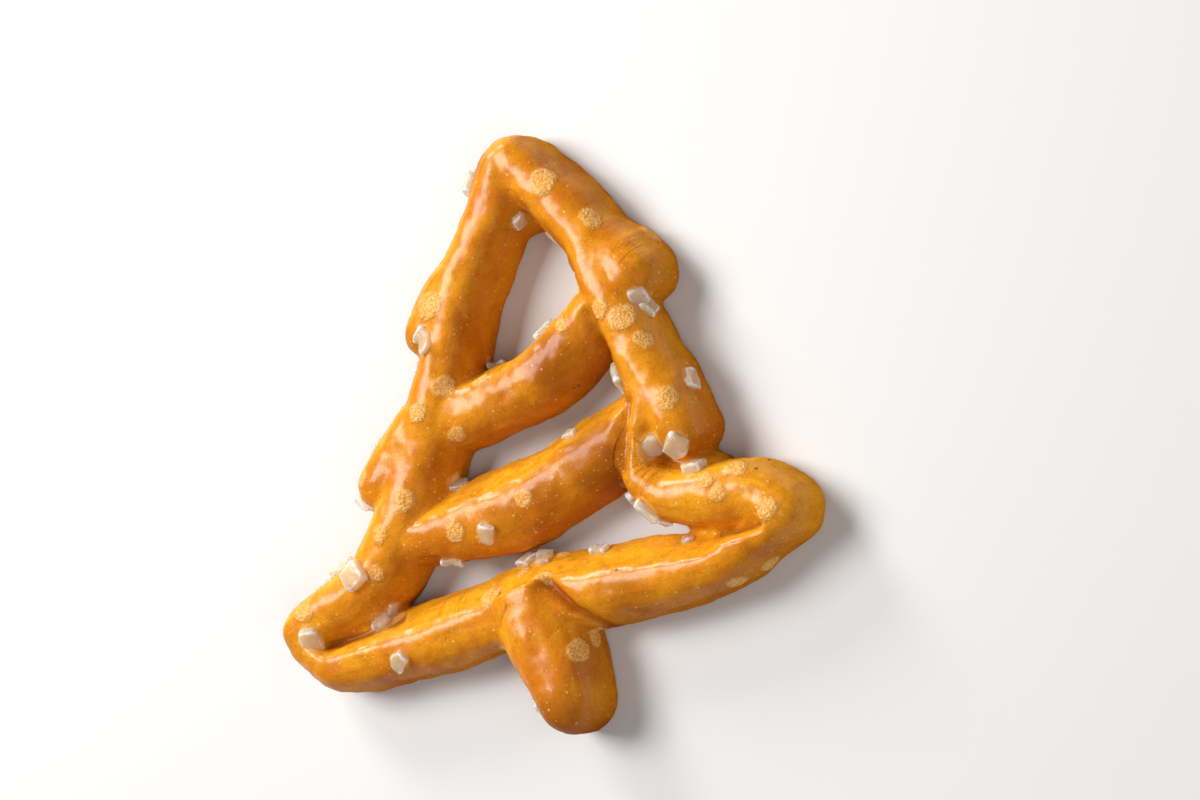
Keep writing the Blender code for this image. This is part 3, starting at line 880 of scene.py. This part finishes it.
# %% One crystal on each place
set_salt = geometry_tree("set salt", {
    "Geometry": "NodeSocketGeometry", "Kinds": "NodeSocketCollection",
    "Roughness": "NodeSocketFloat", "Lump Size": "NodeSocketFloat",
    "Material": "NodeSocketMaterial",
})
given = add_node(set_salt, "NodeGroupInput").outputs
kinds_in = add_node(set_salt, "GeometryNodeCollectionInfo", {"transform_space": "ORIGINAL"},
                    {"Collection": given["Kinds"], "Separate Children": True,
                     "Reset Children": True})
turned = add_node(set_salt, "FunctionNodeEulerToRotation", None,
                  {"Euler": named(set_salt, "turn", "FLOAT_VECTOR")})
set_on = add_node(set_salt, "GeometryNodeInstanceOnPoints", None, {
    "Points": given["Geometry"], "Instance": kinds_in.outputs[0], "Pick Instance": True,
    "Instance Index": named(set_salt, "kind", "INT"), "Rotation": turned.outputs[0],
    "Scale": named(set_salt, "size", "FLOAT_VECTOR")})
real = add_node(set_salt, "GeometryNodeRealizeInstances", None,
                {"Geometry": set_on.outputs["Instances"]})
where = add_node(set_salt, "GeometryNodeInputPosition").outputs[0]
spread = 1 / Wire(given["Lump Size"])
lumps = add_node(set_salt, "ShaderNodeTexNoise", None,
                 {"Vector": where, "Scale": spread.socket, "Detail": 1.0})
amount = (Wire(lumps.outputs[0]) - 0.5) * Wire(given["Roughness"])
outward = add_node(set_salt, "GeometryNodeInputNormal").outputs[0]
push = add_node(set_salt, "ShaderNodeVectorMath", {"operation": "SCALE"},
                {"Vector": outward, "Scale": amount.socket})
moved = add_node(set_salt, "GeometryNodeSetPosition", None,
                 {"Geometry": real.outputs[0], "Offset": push.outputs[0]})
dressed = add_node(set_salt, "GeometryNodeSetMaterial", None,
                   {"Geometry": moved.outputs[0], "Material": given["Material"]})
add_node(set_salt, "NodeGroupOutput", None, {"Geometry": dressed.outputs[0]})
print("nodes that set the salt:", len(set_salt.nodes))

# %% [markdown]
# ## Materials
# A material is a tree of nodes too. Its nodes differ only in their type, settings and
# inputs, so one method adds any of them. Short methods with plain names call it for what
# the crust needs again and again.


# %% One method for every other node
class Recipe:
    """The nodes of one material."""

    def __init__(self, name):
        self.material = bpy.data.materials.new(name)
        self.material.use_nodes = True
        self.tree = self.material.node_tree
        self.tree.nodes.clear()

    def add(self, kind, settings=None, values=None, output=0):
        """Add a node: its settings first, then values or wires for its sockets."""
        inputs = {key: bare(value) for key, value in (values or {}).items()}
        node = add_node(self.tree, kind, settings, inputs)
        return Wire(node.outputs[output]) if node.outputs else None

    def surface(self, values):
        """End the material with a Principled shader that has these values."""
        shader = self.add("ShaderNodeBsdfPrincipled", None, values)
        self.add("ShaderNodeOutputMaterial", None, {"Surface": shader})

    def relief(self, height):
        """A normal that shows a height in millimetres."""
        return self.add("ShaderNodeBump", None,
                        {"Height": height, "Strength": 1.0, "Distance": MM})

    def millimetres(self):
        """The place on the piece, in millimetres."""
        metres = self.add("ShaderNodeTexCoord", output="Object")
        return self.add("ShaderNodeVectorMath", {"operation": "SCALE"},
                        {0: metres, "Scale": 1 / MM})

    def stored(self, name, output="Fac"):
        """A map that the mesh keeps."""
        return self.add("ShaderNodeAttribute", {"attribute_name": name}, output=output)

    def step(self, value, low, high):
        """0 below low, 1 above high, soft between."""
        return self.add("ShaderNodeMapRange", {"interpolation_type": "SMOOTHSTEP"},
                        {"Value": value, "From Min": low, "From Max": high})

    def tint(self, under, over, share):
        """One colour over another."""
        return self.add("ShaderNodeMix", {"data_type": "RGBA"}, {0: share, 6: under, 7: over}, 2)

    def grain(self, place, size, detail=2.0, warp=0.0):
        """Noise from 0 to 1 whose lumps are about so many millimetres wide."""
        return self.add("ShaderNodeTexNoise", None, {
            "Vector": place, "Scale": 1 / size, "Detail": detail, "Distortion": warp})

    def along_ropes(self, scale, detail):
        """Noise that is drawn out along or round the ropes."""
        lay = self.add("ShaderNodeVectorMath", {"operation": "MULTIPLY"},
                       {0: self.stored("lay", "Vector"), 1: scale})
        return self.grain(lay, 1.0, detail)

    def dots(self, place, gap, core, rim, least, most):
        """Scattered dots, full to the core and gone at the rim. Each draws a random
        number, and shows if that is above least to most."""
        settings = {"feature": "F1"}
        values = {"Vector": place, "Scale": 1 / gap, "Randomness": 1.0}
        away = self.add("ShaderNodeTexVoronoi", settings, values, "Distance") * gap
        colour = self.add("ShaderNodeTexVoronoi", settings, values, "Color")
        draw = self.add("ShaderNodeSeparateColor", None, {"Color": colour}, 0)
        return (1 - self.step(away, core, rim)) * self.step(draw, least, most)


print("recipes are ready")

# %% [markdown]
# The crust's colour comes in layers, like the real one: golden dough, browner clouds, yellowish
# walls that are partly painted light, brown tips and patches of painted shade, then pale pores and
# dark specks, and last the tan spots.
# Everything is measured in millimetres, so sizes can be compared with the real thing.

# %% Crust: places and masks
GOLDEN = (0.740, 0.275, 0.010, 1)
CLOUDED = (0.560, 0.150, 0.005, 1)
YELLOW_AND_LIT = (0.900, 0.430, 0.016, 1)
BROWN = (0.250, 0.055, 0.005, 1)
PALE = (0.900, 0.600, 0.240, 1)
DARK = (0.090, 0.030, 0.012, 1)
TAN = (0.950, 0.620, 0.250, 1)
TAN_LOW = (0.780, 0.350, 0.060, 1)
BELT = (0.640, 0.350, 0.110, 1)
FINE_LUMPS = 0.22
MOTTLE_LUMPS = 0.9
CLOUD_LUMPS = 5.0
SPOT_RAG = 0.40

crust_look = Recipe("crust")
step, tint, stored = crust_look.step, crust_look.tint, crust_look.stored
grain, dots, along_ropes = crust_look.grain, crust_look.dots, crust_look.along_ropes
place = crust_look.millimetres()
fine = grain(place, FINE_LUMPS, 3.0)
cloud = grain(place, CLOUD_LUMPS, 3.0, 0.6)
mottle = grain(place, MOTTLE_LUMPS, 4.0)

# Millimetres inside the outline where the spot, its outline and its rim start and are full
inside = stored("spot_depth") + (fine - 0.5) * SPOT_RAG
spot = step(inside, -0.16, 0.24)
spot_outline = step(inside, -0.34, -0.10) * (1 - spot)
spot_rim = spot * (1 - step(inside, 0.10, 0.26)) * step(cloud, 0.48, 0.56)
seat = step(stored("seat_depth"), -0.30, -0.05)
on_back = stored("back")
print("masks of the crust are ready")

# %% [markdown]
# Small marks are scattered dots. The pores are dry blisters, paler than the crust, and
# the dust is the same, much finer and in patches. The specks are scorched flour, and the
# freckles are faint brown marks.

# %% Crust: small marks
# Mean gap, radius of the core and of the rim, and the draws between which it shows
PORES = (0.95, 0.06, 0.14, 0.45, 0.50)
DUST = (0.42, 0.035, 0.085, 0.38, 0.43)
SPECKS = (3.1, 0.10, 0.20, 0.55, 0.60)
FRECKLES = (1.3, 0.06, 0.20, 0.60, 0.65)

pores = dots(place, *PORES)
dust = dots(place, *DUST) * step(grain(place, 2.6), 0.32, 0.58)
specks = dots(place, *SPECKS)
freckles = dots(place, *FRECKLES)
print("nodes so far:", len(crust_look.tree.nodes))

# %% [markdown]
# Each layer is a colour and how much of it shows. The list reads from the dough up, and
# one loop lays them over each other. The streaks follow the ropes, so they are read from
# the stored distances, drawn out along the rope.

# %% Crust: colour
STREAK_SCALE = (0.16, 2.2, 1.0)
SPOT_GRAIN = 0.16

own = stored("own")
streaks = along_ropes(STREAK_SCALE, 3.0)
granular = tint(TAN_LOW, TAN, step(grain(place, SPOT_GRAIN, 3.0), 0.40, 0.60))
colour = GOLDEN
for over, share in (
    (CLOUDED, step(cloud, 0.42, 0.68) * 0.75),
    # Yellowish walls facing the tip, partly painted light
    (YELLOW_AND_LIT, stored("yellow_and_lit") * 0.7),
    (CLOUDED, step(streaks, 0.5, 0.75) * own * 0.45),
    (CLOUDED, step(mottle, 0.45, 0.75) * 0.50),
    (BROWN, step(fine, 0.45, 0.75) * 0.26),
    # Browning, with painted shade on the bars, the foot's right face, walls facing the foot, low
    # parts and creases
    (BROWN, stored("browned_and_shaded") * (0.55 + 0.9 * (cloud - 0.2))),
    (PALE, pores * 0.55),
    (PALE, dust * 0.62),
    (BROWN, freckles * 0.35),
    (DARK, specks * 0.85),
    (BROWN, spot_outline * 0.06),
    (granular, spot * 0.68),
    (PALE, spot_rim * 0.45),
    (PALE, seat * 0.25),
    (BELT, on_back * 0.8),
):
    colour = tint(colour, over, share)
print("nodes so far:", len(crust_look.tree.nodes))

# %% [markdown]
# The gloss of the dough is a thin glaze over a dull crumb, broken by tiny unevenness. So the base
# has no gloss of its own, which would haze the steep walls, and a clear coat gives it all, thinner
# where the dough is browner and where shade is painted, and hardly any on the spots. Bump adds what
# is too fine for the mesh: pores, streaks, pitted spots and wrinkles at the bends.

# %% Crust: gloss and fine relief
WRINKLE_SCALE = (2.4, 0.35, 1.0)
PIT_SIZE = 0.22
COAT_ROUGHNESS = 0.25
COAT_IOR = 1.6
DULL = {"IOR": 1.05, "Specular IOR Level": 0.0}

wrinkles = along_ropes(WRINKLE_SCALE, 2.0)
wrinkled = stored("wrinkled") * step(own, 0.05, 0.40)
# Millimetres that each mark stands up
height = (mottle * 0.018 + fine * 0.045 + wrinkles * wrinkled * 0.30 + pores * 0.022
          + dust * 0.016 - specks * 0.02 + spot * grain(place, PIT_SIZE, 2.0) * 0.15
          + streaks * own * 0.020)
roughness = 0.45 + 0.10 * grain(place, 2.5) + spot * 0.2 + on_back * 0.25
coat = (1 - spot * 0.85) * (1 - on_back) * stored("glazed") * (1 - 0.4 * stored("browned_and_shaded"))
crust_look.surface({
    "Base Color": colour, "Roughness": roughness, "Coat Weight": coat, **DULL,
    "Coat Roughness": COAT_ROUGHNESS, "Coat IOR": COAT_IOR,
    "Normal": crust_look.relief(height)})
crust.data.materials.clear()
crust.data.materials.append(crust_look.material)
print("nodes of the crust:", len(crust_look.tree.nodes))

# %% [markdown]
# Pretzel salt is cloudy: light goes in and is scattered by cracks, so a grain is whitish with
# bright edges and lets the crust show through its middle. The stored rim says how near to an edge a
# point is. It makes the edges paler and less clear than the faces, and the paler colour along the
# edges is partly a painted glint. Real refraction is left out, because grains this small then turn
# dark grey.

# %% Salt
CLEAR = (1.00, 0.79, 0.57, 1)
CLOUDY_AND_GLINT = (1.00, 0.98, 0.94, 1)
LEAST_ALPHA = 0.42
MORE_ALPHA = 0.50
CRACK_SIZE = 0.45
CRACK_DEPTH = 0.06
FROST_SIZE = 0.15
FROST_DEPTH = 0.02
SALT_IOR = 1.54
SCATTER = {"Subsurface Weight": 1.0, "Subsurface Radius": (1, 0.9, 0.8),
           "Subsurface Scale": 1.2 * MM}

salt_look = Recipe("salt")
salt_place = salt_look.millimetres()
cracks = salt_look.grain(salt_place, CRACK_SIZE, 3.0, 0.5)
# Paler edges: cloudy salt, and partly a painted glint
edge = salt_look.step(salt_look.stored("rim") + 0.4 * (cracks - 0.5), 0.60, 0.86)
frost = salt_look.grain(salt_place, FROST_SIZE)
salt_look.surface({
    "Base Color": salt_look.tint(CLEAR, CLOUDY_AND_GLINT, edge), "Roughness": 0.10 + 0.20 * cracks,
    "IOR": SALT_IOR, "Alpha": LEAST_ALPHA + MORE_ALPHA * edge, **SCATTER,
    "Normal": salt_look.relief(cracks * CRACK_DEPTH + frost * FROST_DEPTH)})
print("nodes of the salt:", len(salt_look.tree.nodes))

# %% [markdown]
# With its material ready the salt can be made: the inputs are set first, then the result
# is turned into a plain mesh and the modifier goes.

# %% Make the salt
GRAIN_ROUGHNESS = 0.45
LUMP_SIZE = 0.55

set_grains = salt_piece.modifiers.new("set salt", "NODES")
set_grains.node_group = set_salt
set_inputs(set_grains, {"Kinds": kinds, "Roughness": GRAIN_ROUGHNESS * MM,
                        "Lump Size": LUMP_SIZE * MM, "Material": salt_look.material})
keep_what_modifiers_make(salt_piece)
salt_piece.data.shade_smooth()
for crystal in list(kinds.objects):
    bpy.data.objects.remove(crystal)
bpy.data.collections.remove(kinds)
print("faces of the salt:", len(salt_piece.data.polygons))

# %% [markdown]
# ## Put the pieces on the part
# The crust stands for the solid pretzel, and so does the salt on it. Both ride on the part's only
# body, and the solid part is hidden.

# %% Ride and replace
for piece, slot in ((crust, "crust"), (salt_piece, "salt")):
    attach(piece, "root")
    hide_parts("pretzel")
print("pieces:", crust.name, salt_piece.name)

# %% [markdown]
# ## Floor, light and camera
# The floor is plain and pale, and wide enough that its rim never shows.

# %% Floor
FLOOR_RADIUS = 1.2
FLOOR_COLOUR = (0.70, 0.70, 0.70, 1)

floor_mesh = bmesh.new()
bmesh.ops.create_circle(floor_mesh, cap_ends=True, segments=64, radius=FLOOR_RADIUS)
floor_data = bpy.data.meshes.new("floor")
floor_mesh.to_mesh(floor_data)
floor_mesh.free()
floor = bpy.data.objects.new("floor", floor_data)
bpy.context.scene.collection.objects.link(floor)
floor_look = Recipe("floor")
floor_look.surface({"Base Color": FLOOR_COLOUR, "Roughness": 0.6})
floor_data.materials.append(floor_look.material)
print("floor radius:", FLOOR_RADIUS, "m")

# %% [markdown]
# A soft light from the upper left draws the broad highlights along the crests, and one
# from beyond the tip lights the walls that face it. A weak wide light fills the shadows.
# It gives no highlights, so brown walls stay deep.


# %% Lights
ROOM_LIGHT = 0.10


def soft_light(name, direction, distance, side, watts, colour):
    """A square light that faces the pretzel."""
    data = bpy.data.lights.new(name, "AREA")
    data.shape = "SQUARE"
    data.size = side
    data.energy = watts
    data.color = colour
    lamp = bpy.data.objects.new(name, data)
    bpy.context.scene.collection.objects.link(lamp)
    away = Vector(direction).normalized()
    lamp.location = away * distance
    lamp.rotation_euler = away.to_track_quat("Z", "Y").to_euler()
    return lamp


soft_light("upper left light", (-0.52, 0.27, 0.81), distance=0.35, side=0.17, watts=1.20,
           colour=(1.0, 0.98, 0.96))
soft_light("light beyond the tip", (-0.50, 0.76, 0.42), distance=0.40, side=0.13, watts=1.00,
           colour=(1.0, 0.97, 0.94))
fill = soft_light("fill", (0.62, -0.32, 0.72), distance=0.50, side=0.40, watts=1.1,
                  colour=(1.0, 0.98, 0.96))
fill.visible_glossy = False
world = bpy.data.worlds.new("room")
bpy.context.scene.world = world
world.use_nodes = True
world.node_tree.nodes["Background"].inputs["Color"].default_value = (1, 1, 1, 1)
world.node_tree.nodes["Background"].inputs["Strength"].default_value = ROOM_LIGHT
bpy.context.scene.view_settings.view_transform = "Standard"

# %% [markdown]
# The camera looks down on the shown face, turned as the pretzel is in the photo, with a
# long lens. Its three axes are given as directions: right, up and back towards it.

# %% Camera
CAMERA_PLACE = (0.10563137, -0.01891788, 0.17364337)
CAMERA_RIGHT = Vector((0.85581813, -0.10395585, -0.50672331))
CAMERA_UP = Vector((0.14250223, 0.9890738, 0.03776417))
LENS = 78
SENSOR_WIDTH = 36
NEAREST = 0.005

camera_data = bpy.data.cameras.new("camera")
camera_data.lens = LENS
camera_data.sensor_width = SENSOR_WIDTH
camera_data.clip_start = NEAREST
camera = bpy.data.objects.new("camera", camera_data)
bpy.context.scene.collection.objects.link(camera)
axes = Matrix((CAMERA_RIGHT, CAMERA_UP, CAMERA_RIGHT.cross(CAMERA_UP))).transposed()
camera.matrix_world = Matrix.Translation(CAMERA_PLACE) @ axes.to_4x4()
bpy.context.scene.camera = camera
print("camera is", round(Vector(CAMERA_PLACE).length / MM), "mm from the pretzel")
